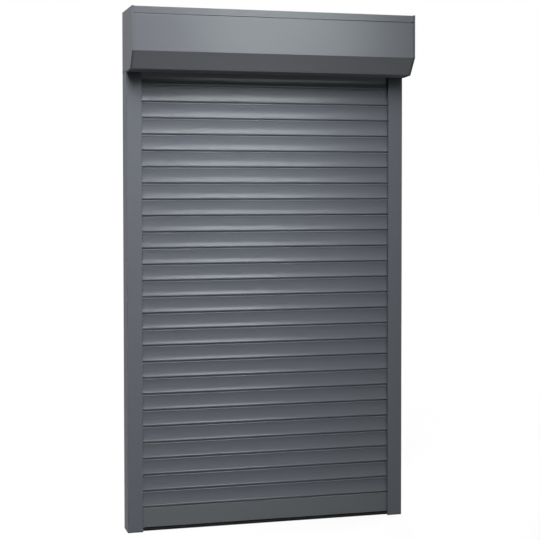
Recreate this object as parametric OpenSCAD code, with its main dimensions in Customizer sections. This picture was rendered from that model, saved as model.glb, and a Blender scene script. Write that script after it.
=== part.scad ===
// Exterior roller shutter: a head box on two guide rails, and a curtain of interlocking slats
// that hangs from an octagonal winding shaft with a tubular motor inside it.
// Frame: X along the head box, +Y towards the wall, +Z up. The origin lies on the sill, at the
// middle of the width and of the box's depth.

/* [Overall] */
// Width over the head box and both guide rails
overall_w = 698; // [520:1:1400]

/* [Head box] */
// Depth of the head box
box_d = 141; // [136:1:170]
// Height of the head box above the guide rails
box_h = 146; // [142:1:180]
// Height of the front panels' upright face
front_h = 102.5; // [96:0.5:116]
// Depth that the sloped front takes
slope_run = 30.5; // [22:0.5:44]
// Drop of the underside from the slope to the rails
under_drop = 3; // [1:0.5:6]
// Height of the top panel's front flange
flange_h = 16; // [12:0.5:24]
// Thickness of the formed sheet
sheet_t = 1.2; // [0.8:0.1:1.6]
// Radius of the bead that the front cover hangs from
bead_r = 2.5; // [2:0.1:3.5]
// Thickness of an end cap's plate
cap_t = 4; // [3:0.5:6]
// Overlap of an end cap's plate past the top, front and slope
cap_lap = 1; // [0.4:0.1:2]
// Depth of the end cap's ledge under the panels
ledge_d = 9; // [6:0.5:14]
// Thickness of the end cap's ledge
ledge_t = 2.2; // [1.5:0.1:4]
// Length of the end cap's peg inside the rail
peg_h = 60; // [30:1:100]

/* [Guide rails] */
// Width of a rail, seen from the front
rail_w = 37; // [32:0.5:50]
// Depth of a rail from the wall
rail_d = 54; // [50:0.5:70]
// Wall of the extruded rail
rail_wall = 1.6; // [1.2:0.1:2.4]
// Radius of the rail's outer corners
rail_r = 1; // [0.5:0.1:1.4]
// Width of the lips at the mouth of the channel
lip_w = 7; // [6:0.5:10]
// Depth of the gasket grooves in the lips
groove_d = 1.9; // [1.6:0.1:3]
// Height of the foot's plate under a rail
foot_t = 2; // [1.5:0.1:4]
// Radius of a fixing hole
fix_r = 2.75; // [2:0.05:3.5]
// Radius of the screwdriver hole opposite a fixing hole
access_r = 5; // [4:0.1:7]
// Height of the lowest fixing hole above the sill
fix_low = 150; // [80:5:300]
// Distance from the rail's top down to the highest fixing hole
fix_high = 150; // [90:5:300]

/* [Curtain] */
// Height that one slat covers
slat_pitch = 39; // [37:0.5:44]
// Number of slats above the end slat
slat_count = 27; // [10:1:27]
// Distance from the rail's front face back to the slats
slat_recess = 7; // [6:0.1:9]
// Thickness of a slat between its curved faces
slat_core = 6.4; // [6:0.1:7]
// Depth of the hollow in a slat's curved face
face_depth = 2.6; // [1.5:0.1:3]
// Radius of a slat's curved face
face_r = 60; // [55:1:90]
// Radius of the rounded lip at the bottom of a slat
lip_r = 3.4; // [3.2:0.1:3.8]
// Radius of the bead on a slat's tongue
tongue_r = 1.7; // [1.4:0.05:1.8]
// Thickness of the tongue's web
web_t = 1.4; // [1:0.1:1.8]
// Travel of the interlock that opens the light slits
slit_play = 1.5; // [0.8:0.1:1.6]
// Length of one light slit
slit_w = 17; // [10:1:24]
// Distance between light slits
slit_step = 34; // [28:1:60]
// Height of the end slat
end_slat_h = 47.6; // [42:0.2:65]
// Height of the rubber seal under the end slat
seal_h = 9.6; // [8.4:0.1:12]

/* [Drive] */
// Width of the octagonal shaft across its flats
shaft_af = 40; // [38:1:50]
// Wall of the shaft
shaft_wall = 0.8; // [0.6:0.1:1.2]
// Height of the shaft's axis above the rails
shaft_h = 80; // [74:1:88]
// Radius of the motor's tube
motor_r = 17.5; // [16:0.1:17.6]
// Length of the motor's tube
motor_len = 430; // [280:5:450]
// Radius of the bearing pin
pin_r = 6; // [4:0.5:8]
// Outer radius of the ball bearing
bearing_r = 14; // [12:0.5:18]
// Length of the ball bearing
bearing_len = 9; // [7:0.5:14]
// Number of straps that hold the curtain
strap_count = 2; // [2:1:4]
// Width of a strap
strap_w = 28; // [20:1:40]
// Thickness of a strap
strap_t = 0.9; // [0.6:0.1:1.2]
// Radius of the cable outlet
cable_r = 4.5; // [3:0.5:6]

/* [Hidden] */
$fn = 64;

// Clearances
seat_gap = 0.1;
run_gap = 0.05;
slide_gap = 0.4;
hinge_gap = 0.25;
cover_gap = 0.4;
end_gap = 0.3;
web_gap = 0.5;
cut = 1;

// Main planes
y_back = box_d / 2;
y_front = cap_lap - box_d / 2;
x_out = overall_w / 2;
x_in = x_out - rail_w;
x_cap = x_out - cap_t;
rail_y0 = y_back - rail_d;
slat_y0 = rail_y0 + slat_recess;
slat_d = face_depth + slat_core;
slat_y1 = slat_y0 + slat_d;

// Heights
end_seam_z = seal_h + end_slat_h;
curtain_tuck = 8.2;
box_z0 = end_seam_z + slat_count * slat_pitch - curtain_tuck;
box_top = box_z0 + box_h - cap_lap;
knee_z = box_top - front_h;
slope_z = box_z0 + under_drop;
slope_y = y_front + slope_run;

// Slat profile, from the front of its lip and from its lower seam
seam_gap = 0.8;
tongue_back = 0.2;
tongue_rise = 2.6;
tongue_u = lip_r + tongue_back;
tongue_z = lip_r + tongue_rise;
shoulder_drop = 1;
shoulder_r = 1.6;
shoulder_u0 = 0.3;
shoulder_inset = 1.8;
shoulder_u1 = slat_d - shoulder_inset;
face_shift = 2;
slit_h = 2.4;
slit_low = 1.2;
slat_end_gap = 8;
slat_x = x_out - rail_wall - slat_end_gap;
pocket_r = tongue_r + slide_gap;

// End slat's profile, and the groove for its seal
end_inset = 0.6;
end_u0 = end_inset;
end_u1 = slat_d - end_inset;
end_wall = 1.5;
end_rib = 2;
end_floor = 5;
end_roof = 4;
seal_u = (end_u0 + end_u1) / 2;
seal_neck = 3;
seal_head = 6;
seal_lip = 1.6;
seal_top = 5;
end_body_h = end_slat_h - shoulder_drop - shoulder_r;
chamber_low = seal_top + end_floor;
chamber_high = end_body_h - end_roof;
chamber_mid = (chamber_low + chamber_high) / 2;
chambers = [[chamber_low, chamber_mid - end_rib / 2], [chamber_mid + end_rib / 2, chamber_high]];

// Rail channel and its grooves
side_room = 3.5;
chan_front = slat_y0 - side_room;
chan_back = slat_y1 + side_room;
groove_x = x_in + lip_w / 2;
groove_lip = 0.7;
groove_neck = 2;
groove_w = 3.6;
chamber_y0 = chan_back + rail_wall;
chamber_y1 = y_back - rail_wall;
chamber_lip_y = chan_back + groove_d + rail_wall;
fix_y = (chamber_lip_y + chamber_y1) / 2;
fix_z = [fix_low, (fix_low + box_z0 - fix_high) / 2, box_z0 - fix_high];

// Hinge bead of the cover, under the top panel's flange
flange_z = box_top - flange_h;
socket_r = bead_r + hinge_gap;
hinge_y = y_front + bead_r;
hinge_z = flange_z - socket_r;
cover_end_y = rail_y0 - cover_gap;
return_h = 8;

// Screws of the fixed panels
panel_head_r = 3.2;
panel_shank_r = 1.6;
panel_screw_len = 6;

// Drive line, from the left end cap to the right one
half_facet = 22.5;
corner_r = shaft_af / 2 / cos(half_facet);
shaft_room = 3.5;
shaft_y = slat_y0 - shaft_room - corner_r;
shaft_z = box_z0 + shaft_h;
plug_af = shaft_af - 2 * shaft_wall - 2 * seat_gap;
plug_r = plug_af / 2 / cos(half_facet);
bracket_t = 3;
bracket_w = 62;
bracket_r = 6;
bracket_step = 46;
bracket_screw_r = 1.9;
bracket_hole_r = 2.2;
bracket_bite = 2.5;
head_len = 22;
head_pin_w = 12;
head_x0 = -x_cap + bracket_t;
motor_x0 = head_x0 + head_len;
motor_x1 = motor_x0 + motor_len;
run_room = 2;
shaft_x0 = motor_x0 + run_room;
bearing_x1 = x_cap - bracket_t;
bearing_x0 = bearing_x1 - bearing_len;
rim_t = 2;
shaft_x1 = bearing_x0 - run_room - rim_t;
spindle_r = 6;
spindle_len = 26;
spindle_seat = 10;
clip_r = 3;
clip_grip = 1;
clip_stem = shaft_wall + clip_grip;
grommet_wall = 2;
grommet_r = cable_r + grommet_wall;

function slat_name(i) = str("slat_", i < 10 ? "0" : "", i);

// Lower seam of slat i, counted from the top
function slat_z(i) = end_seam_z + (slat_count - i) * slat_pitch;

// Outline of the panels in the YZ plane, counter-clockwise from the back of the rails
outline = [
    [y_back, box_z0],
    [y_back, box_top],
    [y_front, box_top],
    [y_front, knee_z],
    [slope_y, slope_z],
    [rail_y0, box_z0]
];

// A closed outline moved inwards by t, with mitred corners
function inward(a, b) = [a[1] - b[1], b[0] - a[0]] / norm(b - a);
function mitre(n1, n2) = (n1 + n2) / (1 + n1 * n2);
function inset(path, t) = let (n = len(path)) [
    for (i = [0 : n - 1])
        let (a = path[(i + n - 1) % n], b = path[i], c = path[(i + 1) % n])
        b + t * mitre(inward(a, b), inward(b, c))
];

// Runs a YZ profile from x0 to x1
module along_x(x0, x1) {
    translate([x0, 0, 0])
        rotate([90, 0, 90])
            linear_extrude(x1 - x0)
                children();
}

// Moves a YZ profile's origin to the winding shaft's axis
module at_shaft() {
    translate([shaft_y, shaft_z])
        children();
}

// A rectangle given by two corners
module span(low, high) {
    translate(low)
        square(high - low);
}

module rounded(low, high, r) {
    span(low + [r, 0], high - [r, 0]);
    span(low + [0, r], high - [0, r]);
    for (x = [low[0] + r, high[0] - r], y = [low[1] + r, high[1] - r])
        translate([x, y])
            circle(r);
}

module both_sides() {
    children();
    mirror([1, 0, 0])
        children();
}

// Countersunk panel screw, head face up at the origin, shank down
module flat_screw() {
    translate([0, 0, -sheet_t])
        cylinder(h = sheet_t, r1 = panel_shank_r, r2 = panel_head_r);
    translate([0, 0, -panel_screw_len])
        cylinder(h = panel_screw_len, r = panel_shank_r);
}

// Countersunk hole for it through a panel, open past both faces
module flat_screw_hole() {
    seat_r = panel_head_r + seat_gap;
    hole_r = panel_shank_r + seat_gap;
    translate([0, 0, -sheet_t])
        cylinder(h = sheet_t, r1 = hole_r, r2 = seat_r);
    cylinder(h = cut, r = seat_r);
    translate([0, 0, -sheet_t - cut])
        cylinder(h = sheet_t + cut, r = hole_r);
}

// Guide rails

module rail_groove(edge_y, inner) {
    span([groove_x - groove_neck / 2, min(edge_y - inner * cut, edge_y + inner * groove_lip)],
        [groove_x + groove_neck / 2, max(edge_y - inner * cut, edge_y + inner * groove_lip)]);
    span([groove_x - groove_w / 2, min(edge_y + inner * groove_lip, edge_y + inner * groove_d)],
        [groove_x + groove_w / 2, max(edge_y + inner * groove_lip, edge_y + inner * groove_d)]);
}

// Right rail's section: a channel for the slats in front of a closed fixing chamber
module rail_section() {
    difference() {
        rounded([x_in, rail_y0], [x_out, y_back], rail_r);
        span([x_in + lip_w, rail_y0 + rail_wall], [x_out - rail_wall, chan_back]);
        span([x_in - cut, chan_front], [x_in + lip_w + cut, chan_back]);
        rail_groove(chan_front, -1);
        rail_groove(chan_back, 1);
        difference() {
            span([x_in + rail_wall, chamber_y0], [x_out - rail_wall, chamber_y1]);
            span([x_in, chan_back], [x_in + lip_w + rail_wall, chamber_lip_y]);
        }
    }
}

module guide_rail() {
    difference() {
        translate([0, 0, foot_t])
            linear_extrude(box_z0 - foot_t)
                rail_section();
        for (z = fix_z) {
            translate([x_out - rail_wall - cut, fix_y, z])
                rotate([0, 90, 0])
                    cylinder(h = rail_wall + 2 * cut, r = fix_r);
            translate([x_in - cut, fix_y, z])
                rotate([0, 90, 0])
                    cylinder(h = rail_wall + 2 * cut, r = access_r);
        }
    }
}

module left_guide_rail() {
    color("dimgray")
        mirror([1, 0, 0])
            guide_rail();
}

module right_guide_rail() {
    color("dimgray")
        guide_rail();
}

// Soft strip: a foot held in the groove, and a fin with a round edge towards the slats
module gasket_section(edge_y, inner, tip_y) {
    foot_w = groove_w - 2 * seat_gap;
    fin_w = groove_neck - 2 * seat_gap;
    foot_in = edge_y + inner * (groove_d - seat_gap);
    foot_out = edge_y + inner * (groove_lip + seat_gap);
    round_y = tip_y + inner * fin_w / 2;
    span([groove_x - foot_w / 2, min(foot_in, foot_out)],
        [groove_x + foot_w / 2, max(foot_in, foot_out)]);
    span([groove_x - fin_w / 2, min(foot_in, round_y)],
        [groove_x + fin_w / 2, max(foot_in, round_y)]);
    translate([groove_x, round_y])
        circle(fin_w / 2);
}

module rail_gaskets() {
    color("black")
        both_sides()
            translate([0, 0, foot_t])
                linear_extrude(box_z0 - foot_t) {
                    gasket_section(chan_front, -1, slat_y0 - slide_gap);
                    gasket_section(chan_back, 1, slat_y1 + slide_gap);
                }
}

// Funnel on the rail's top end: two cheeks that lead the slats in, and a web at the end cap
module rail_inlets() {
    inlet_h = 22;
    inlet_straight = 10;
    inlet_flare = 4;
    cheek_set = 1;
    cheek_t = 6.5;
    end_room = 2;
    cheek_front = rail_y0 + cheek_set;
    throat0 = slat_y0 - slide_gap;
    throat1 = slat_y1 + slide_gap;
    cheek_back = throat1 + cheek_t;
    web_x = slat_x + end_room;
    color("black")
        both_sides() {
            along_x(x_in, x_cap - seat_gap) {
                polygon([
                    [cheek_front, box_z0],
                    [throat0, box_z0],
                    [throat0, box_z0 + inlet_straight],
                    [throat0 - inlet_flare, box_z0 + inlet_h],
                    [cheek_front, box_z0 + inlet_h]
                ]);
                polygon([
                    [throat1, box_z0],
                    [cheek_back, box_z0],
                    [cheek_back, box_z0 + inlet_h],
                    [throat1 + inlet_flare, box_z0 + inlet_h],
                    [throat1, box_z0 + inlet_straight]
                ]);
            }
            along_x(web_x, x_cap - seat_gap)
                span([cheek_front, box_z0], [cheek_back, box_z0 + inlet_h]);
        }
}

// Plastic foot: a plate under the rail's walls, and a hollow peg in the fixing chamber
module rail_feet() {
    peg = 24;
    peg_wall = 2;
    low = [x_in + rail_wall + seat_gap, chamber_lip_y + seat_gap];
    high = [x_out - rail_wall - seat_gap, chamber_y1 - seat_gap];
    color("black")
        both_sides() {
            linear_extrude(foot_t)
                difference() {
                    rounded([x_in, rail_y0], [x_out, y_back], rail_r);
                    span([x_in + lip_w, rail_y0 + rail_wall], [x_out - rail_wall, chan_back]);
                    span([x_in - cut, chan_front], [x_in + lip_w + cut, chan_back]);
                }
            linear_extrude(foot_t + peg)
                difference() {
                    span(low, high);
                    span(low + [peg_wall, peg_wall], high - [peg_wall, peg_wall]);
                }
        }
}

// Head box

// The panels' outline grown by the overlap, and cut at the wall and at the rails' tops
module cap_outline() {
    intersection() {
        polygon(inset(outline, -cap_lap));
        span([-box_d, box_z0], [y_back, box_z0 + box_h]);
    }
}

// Cast end cap: a plate, a ledge that carries the panels, and a peg in the rail's chamber
module end_cap() {
    shelf_h = 6;
    shelf_inset = 12;
    shelf_room = 3;
    shelf_x = x_in + shelf_inset;
    shelf_y = chamber_lip_y + shelf_room;
    peg_wall = 3;
    ledge_room = 3;
    hem_y = cover_end_y - sheet_t;
    hinge_room = 2 * socket_r + sheet_t + ledge_room;
    peg_low = [shelf_x, shelf_y];
    peg_high = [x_out - rail_wall - seat_gap, chamber_y1 - seat_gap];
    difference() {
        union() {
            along_x(x_cap, x_out)
                cap_outline();
            along_x(x_cap - ledge_d, x_cap + cut)
                difference() {
                    polygon(inset(outline, sheet_t + seat_gap));
                    polygon(inset(outline, sheet_t + seat_gap + ledge_t));
                    span([y_front, hinge_z - hinge_room], [y_front + hinge_room, box_top]);
                    span([hem_y - ledge_room, box_z0 - cut], [shelf_y, box_z0 + return_h + ledge_room]);
                    span([shelf_y - cut, box_z0 - cut], [y_back, box_z0 + sheet_t + seat_gap]);
                }
            along_x(shelf_x, x_cap + cut)
                span([shelf_y, box_z0], [y_back - sheet_t - seat_gap, box_z0 + shelf_h]);
            translate([0, 0, box_z0 - peg_h])
                linear_extrude(peg_h + shelf_h / 2)
                    difference() {
                        span(peg_low, peg_high);
                        span(peg_low + [peg_wall, peg_wall], peg_high - [peg_wall, peg_wall]);
                    }
        }
        bracket_screw_places()
            cylinder(h = bracket_bite + seat_gap, r = bracket_screw_r + seat_gap);
        panel_screw_places()
            translate([0, 0, -panel_screw_len - cut])
                cylinder(h = panel_screw_len + cut, r = panel_shank_r + seat_gap);
    }
}

module bracket_screw_places() {
    for (dy = [-1, 1], dz = [-1, 1])
        translate([x_cap, shaft_y + dy * bracket_step / 2, shaft_z + dz * bracket_step / 2])
            rotate([0, 90, 0])
                children();
}

// Right-hand screws of the fixed panels: two in the top panel and two in the back panel
module panel_screw_places() {
    screw_x = x_cap - ledge_d / 2;
    for (y = [-box_d / 4, box_d / 4])
        translate([screw_x, y, box_top])
            children();
    for (z = [box_z0 + box_h / 3, box_z0 + box_h * 2 / 3])
        translate([screw_x, y_back, z])
            rotate([-90, 0, 0])
                children();
}

module left_end_cap() {
    color("dimgray")
        mirror([1, 0, 0])
            end_cap();
}

module right_end_cap() {
    color("dimgray")
        end_cap();
}

module panel_screws() {
    color("silver")
        both_sides()
            panel_screw_places()
                flat_screw();
}

// Back panel: an upright sheet, a return under the top panel, and a foot with a hem
module back_panel() {
    top_return = 12;
    foot_return = 20;
    panel_x = x_cap - end_gap;
    foot_room = 2;
    foot_x = x_in - foot_room;
    hem_y = y_back - foot_return;
    color("dimgray")
        difference() {
            union() {
                along_x(-panel_x, panel_x)
                    span([y_back - sheet_t, box_z0], [y_back, box_top - sheet_t]);
                along_x(-x_cap + ledge_d + end_gap, x_cap - ledge_d - end_gap)
                    span([y_back - top_return, box_top - 2 * sheet_t], [y_back, box_top - sheet_t]);
                along_x(-foot_x, foot_x) {
                    span([hem_y, box_z0], [y_back, box_z0 + sheet_t]);
                    span([hem_y, box_z0], [hem_y + sheet_t, box_z0 + return_h]);
                }
            }
            both_sides()
                panel_screw_places()
                    flat_screw_hole();
            grommet_place()
                cylinder(h = 4 * sheet_t, r = grommet_r, center = true);
        }
}

// Top panel: a sheet with a front flange that ends in the socket of the cover's hinge bead
module top_panel() {
    panel_x = x_cap - end_gap;
    socket_lap = 0.5;
    reach = 2 * socket_r;
    color("dimgray")
        difference() {
            along_x(-panel_x, panel_x) {
                span([y_front, box_top - sheet_t], [y_back, box_top]);
                span([y_front, flange_z], [y_front + sheet_t, box_top]);
                span([y_front, flange_z], [hinge_y, flange_z + sheet_t]);
                difference() {
                    translate([hinge_y, hinge_z])
                        circle(socket_r + sheet_t);
                    translate([hinge_y, hinge_z])
                        circle(socket_r);
                    span([y_front - reach, hinge_z - reach], [hinge_y - socket_lap, box_top]);
                    span([hinge_y - cut, hinge_z - reach], [hinge_y + reach, hinge_z - bead_r / 2]);
                }
            }
            both_sides()
                panel_screw_places()
                    flat_screw_hole();
        }
}

// Front cover: one bent sheet from the hinge bead over the slope to a hem at the rails
module front_cover() {
    panel_x = x_cap - end_gap;
    color("gray")
        along_x(-panel_x, panel_x) {
            translate([hinge_y, hinge_z])
                circle(bead_r);
            intersection() {
                difference() {
                    polygon(outline);
                    polygon(inset(outline, sheet_t));
                }
                span([y_front, box_z0], [cover_end_y, hinge_z]);
            }
            span([cover_end_y - sheet_t, box_z0 + sheet_t / 2], [cover_end_y, box_z0 + return_h]);
        }
}

// Cable outlet in the back panel, behind the motor's head
module grommet_place() {
    translate([motor_x0, y_back, shaft_z])
        rotate([90, 0, 0])
            children();
}

module cable_grommet() {
    flange_w = 3;
    flange_t = 2;
    color("black")
        grommet_place()
            difference() {
                union() {
                    cylinder(h = sheet_t + flange_t, r = grommet_r - seat_gap);
                    translate([0, 0, sheet_t])
                        cylinder(h = flange_t, r = grommet_r + flange_w);
                }
                translate([0, 0, -cut])
                    cylinder(h = sheet_t + flange_t + 2 * cut, r = cable_r);
            }
}

// Drive

module bracket_plate() {
    at_shaft()
        rounded([-bracket_w / 2, -bracket_w / 2], [bracket_w / 2, bracket_w / 2], bracket_r);
}

// Steel plate on the left end cap, with a square socket for the motor's head
module motor_bracket() {
    color("silver")
        difference() {
            along_x(-x_cap, -x_cap + bracket_t)
                bracket_plate();
            along_x(-x_cap - cut, -x_cap + bracket_t + cut)
                at_shaft()
                    square(head_pin_w + 2 * seat_gap, center = true);
            mirror([1, 0, 0])
                bracket_screw_places()
                    translate([0, 0, -bracket_t - cut])
                        cylinder(h = bracket_t + 2 * cut, r = bracket_hole_r);
        }
}

// Steel plate on the right end cap, with a ring round the ball bearing
module bearing_bracket() {
    ring_wall = 2;
    color("silver")
        difference() {
            union() {
                along_x(x_cap - bracket_t, x_cap)
                    bracket_plate();
                along_x(bearing_x0, x_cap - bracket_t)
                    at_shaft()
                        circle(bearing_r + run_gap + ring_wall);
            }
            along_x(bearing_x0 - cut, bearing_x1)
                at_shaft()
                    circle(bearing_r + run_gap);
            bracket_screw_places()
                translate([0, 0, -bracket_t - cut])
                    cylinder(h = bracket_t + 2 * cut, r = bracket_hole_r);
        }
}

module bracket_screws() {
    head_r = 3.5;
    head_h = 2.4;
    color("silver")
        both_sides()
            bracket_screw_places() {
                translate([0, 0, -bracket_t])
                    cylinder(h = bracket_t + bracket_bite, r = bracket_screw_r);
                translate([0, 0, -bracket_t - head_h])
                    cylinder(h = head_h, r = head_r);
            }
}

module ball_bearing() {
    color("lightgray")
        along_x(bearing_x0, bearing_x1)
            at_shaft()
                difference() {
                    circle(bearing_r);
                    circle(pin_r + run_gap);
                }
}

// Plastic head of the motor: a collar against the shaft's end and a square pin in the bracket
module motor_head() {
    collar_lip = 1;
    collar_len = 6;
    collar_r = corner_r + collar_lip;
    color("black") {
        along_x(head_x0 + seat_gap, motor_x0 - collar_len)
            at_shaft()
                circle(motor_r);
        along_x(motor_x0 - collar_len, motor_x0)
            at_shaft()
                circle(collar_r);
        along_x(head_x0 - bracket_t + seat_gap, head_x0 + cut)
            at_shaft()
                square(head_pin_w, center = true);
    }
}

module tubular_motor() {
    color("whitesmoke")
        difference() {
            along_x(motor_x0, motor_x1)
                at_shaft()
                    circle(motor_r);
            along_x(motor_x1 - spindle_seat, motor_x1 + cut)
                at_shaft()
                    circle(spindle_r + run_gap);
        }
}

module motor_spindle() {
    color("silver")
        along_x(motor_x1 - spindle_seat + end_gap, motor_x1 - spindle_seat + spindle_len)
            at_shaft()
                circle(spindle_r);
}

// Ring that the shaft turns on at the motor's head
module motor_crown() {
    crown_len = 14;
    color("dimgray")
        along_x(shaft_x0, shaft_x0 + crown_len)
            at_shaft()
                difference() {
                    circle(plug_r, $fn = 8);
                    circle(motor_r + run_gap);
                }
}

// Wheel on the motor's spindle that turns the shaft: a hub, spokes and an octagonal rim
module drive_adaptor() {
    hub_r = 10;
    rim = 3;
    spoke_w = 4;
    adaptor_len = spindle_len - spindle_seat - run_room;
    color("dimgray")
        along_x(motor_x1 + run_room, motor_x1 + run_room + adaptor_len)
            at_shaft()
                difference() {
                    union() {
                        difference() {
                            circle(plug_r, $fn = 8);
                            circle(plug_af / 2 - rim);
                        }
                        circle(hub_r);
                        for (a = [0, 45, 90, 135])
                            rotate(a + half_facet)
                                square([plug_af - rim, spoke_w], center = true);
                    }
                    circle(spindle_r + seat_gap / 2);
                }
}

// Octagonal steel tube, with a hole for each strap's clip
module winding_shaft() {
    color("lightsteelblue")
        difference() {
            along_x(shaft_x0, shaft_x1)
                at_shaft()
                    difference() {
                        circle(corner_r, $fn = 8);
                        circle(corner_r - shaft_wall / cos(half_facet), $fn = 8);
                    }
            strap_places()
                clip_place()
                    cylinder(h = 2 * clip_stem, r = clip_r + seat_gap, center = true);
        }
}

// Plastic plug in the shaft's free end, with a rim against the tube and a bore for the pin
module shaft_capsule() {
    capsule_len = 50;
    color("dimgray")
        difference() {
            union() {
                along_x(shaft_x1 - capsule_len, shaft_x1 + cut)
                    at_shaft()
                        circle(plug_r, $fn = 8);
                along_x(shaft_x1, shaft_x1 + rim_t)
                    at_shaft()
                        circle(corner_r, $fn = 8);
            }
            along_x(shaft_x1 - capsule_len - cut, shaft_x1 + rim_t + cut)
                at_shaft()
                    circle(pin_r + run_gap);
        }
}

module bearing_pin() {
    pin_seat = 40;
    color("silver")
        along_x(shaft_x1 - pin_seat, bearing_x1 - end_gap)
            at_shaft()
                circle(pin_r);
}

// Straps

// Straps share the length of the shaft between the rails
module strap_places() {
    strap_inset = 90;
    reach = x_in - strap_inset;
    for (i = [0 : strap_count - 1])
        translate([-reach + 2 * reach * i / (strap_count - 1), 0, 0])
            children();
}

// Middle of the shaft's flat above its rear corner, with Z pointing out of the flat
module clip_place() {
    translate([0, shaft_y, shaft_z])
        rotate([half_facet, 0, 0])
            translate([0, shaft_af / 2, 0])
                rotate([-90, 0, 0])
                    children();
}

// Upper end of each strap: a plate on the shaft's flat and a button through the shaft's wall
module hanger_clips() {
    plate_l = 12;
    button_r = 5;
    button_h = 1.6;
    color("dimgray")
        strap_places()
            clip_place() {
                translate([-strap_w / 2, -plate_l / 2, run_gap])
                    cube([strap_w, plate_l, strap_t]);
                translate([0, 0, -clip_stem])
                    cylinder(h = clip_stem + strap_t, r = clip_r);
                translate([0, 0, run_gap])
                    cylinder(h = strap_t + button_h, r = button_r);
            }
}

// Hanging end of each strap, from the shaft's rear corner to a sleeve on the top slat's bead
module hanger_straps() {
    strap_y = shaft_y + corner_r + end_gap;
    top_z = shaft_z + end_gap;
    bend_drop = 12;
    bend_z = shaft_z - bend_drop;
    bead = [slat_y0 + tongue_u, slat_z(1) + slat_pitch + tongue_z];
    sleeve_r = tongue_r + seat_gap;
    sleeve_out = sleeve_r + strap_t;
    slot = web_t / 2 + seat_gap;
    color("dimgray")
        strap_places()
            along_x(-strap_w / 2, strap_w / 2) {
                polygon([
                    [strap_y, top_z],
                    [strap_y, bend_z],
                    [bead[0] - strap_t / 2, bead[1] + sleeve_r],
                    [bead[0] + strap_t / 2, bead[1] + sleeve_r],
                    [strap_y + strap_t, bend_z],
                    [strap_y + strap_t, top_z]
                ]);
                difference() {
                    translate(bead)
                        circle(sleeve_out);
                    translate(bead)
                        circle(sleeve_r);
                    span(bead - [slot, 2 * sleeve_out], bead + [slot, 0]);
                }
            }
}

// Curtain

// Rounded shoulder, tongue and bead on the top of a slat whose upper seam lies at z
module tongue_section(z) {
    top = z - shoulder_drop;
    span([shoulder_u0 + shoulder_r, top - 2 * shoulder_r], [shoulder_u1 - shoulder_r, top]);
    for (u = [shoulder_u0 + shoulder_r, shoulder_u1 - shoulder_r])
        translate([u, top - shoulder_r])
            circle(shoulder_r);
    span([tongue_u - web_t / 2, top - shoulder_r], [tongue_u + web_t / 2, z + tongue_z]);
    translate([tongue_u, z + tongue_z])
        circle(tongue_r);
}

// Pocket for the bead of the slat below, long enough for the interlock's travel
module pocket_section() {
    for (z = [tongue_z - slit_play, tongue_z])
        translate([tongue_u, z])
            circle(pocket_r);
    span([tongue_u - pocket_r, tongue_z - slit_play], [tongue_u + pocket_r, tongue_z]);
    span([tongue_u - web_t / 2 - web_gap, 0], [tongue_u + web_t / 2 + web_gap, tongue_z]);
}

// Slat section: a core between two arcs, hollow to the front, with a lip, a pocket and a tongue
module slat_section() {
    mid_z = slat_pitch / 2 + face_shift;
    core_top = slat_pitch - shoulder_drop - shoulder_r;
    difference() {
        union() {
            intersection() {
                difference() {
                    translate([face_depth - face_r, mid_z])
                        circle(face_r + slat_core);
                    translate([face_depth - face_r, mid_z])
                        circle(face_r);
                }
                span([0, seam_gap + lip_r], [slat_d + cut, core_top]);
            }
            translate([lip_r, seam_gap + lip_r])
                circle(lip_r);
            tongue_section(slat_pitch);
        }
        pocket_section();
    }
}

// Row of light slits through a tongue whose seam lies at z
module light_slits(z) {
    count = floor((x_in - slit_w / 2) / slit_step);
    for (i = [-count : count])
        translate([i * slit_step - slit_w / 2, slat_y0, z + slit_low])
            cube([slit_w, slat_d, slit_h]);
}

module slat(i) {
    color("dimgray")
        difference() {
            along_x(-slat_x, slat_x)
                translate([slat_y0, slat_z(i)])
                    slat_section();
            light_slits(slat_z(i) + slat_pitch);
        }
}

// End slat

// Extruded end slat: two chambers, a groove for the seal, and the same tongue as a slat
module end_slat_section() {
    difference() {
        union() {
            span([end_u0, 0], [end_u1, end_body_h]);
            tongue_section(end_slat_h);
        }
        for (c = chambers)
            span([end_u0 + end_wall, c[0]], [end_u1 - end_wall, c[1]]);
        span([seal_u - seal_neck / 2, -cut], [seal_u + seal_neck / 2, seal_lip]);
        span([seal_u - seal_head / 2, seal_lip], [seal_u + seal_head / 2, seal_top]);
    }
}

module end_slat() {
    color("dimgray")
        difference() {
            along_x(-slat_x, slat_x)
                translate([slat_y0, seal_h])
                    end_slat_section();
            light_slits(end_seam_z);
        }
}

// Rubber seal: a head in the end slat's groove, a collar under the slat, and a bulb on the sill
module end_slat_seal() {
    bulb_r = 3.6;
    collar_t = 0.8;
    head_w = seal_head - 2 * seat_gap;
    neck_w = seal_neck - 2 * seat_gap;
    color("black")
        along_x(-slat_x, slat_x)
            translate([slat_y0 + seal_u, seal_h]) {
                span([-head_w / 2, seal_lip + seat_gap], [head_w / 2, seal_top - seat_gap]);
                span([-head_w / 2, -collar_t], [head_w / 2, 0]);
                span([-neck_w / 2, bulb_r - seal_h], [neck_w / 2, seal_lip + 2 * seat_gap]);
                translate([0, bulb_r - seal_h])
                    circle(bulb_r);
            }
}

// Plastic plug in each end of the end slat, with a peg in each chamber
module end_slat_plugs() {
    plug_t = 2;
    plug_edge = 1;
    peg = 15;
    color("black")
        both_sides() {
            along_x(slat_x, slat_x + plug_t)
                translate([slat_y0, seal_h])
                    rounded([end_u0, 0], [end_u1, end_body_h], plug_edge);
            for (c = chambers)
                along_x(slat_x - peg, slat_x + plug_t)
                    translate([slat_y0, seal_h])
                        span([end_u0 + end_wall + seat_gap, c[0] + seat_gap],
                            [end_u1 - end_wall - seat_gap, c[1] - seat_gap]);
        }
}

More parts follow.
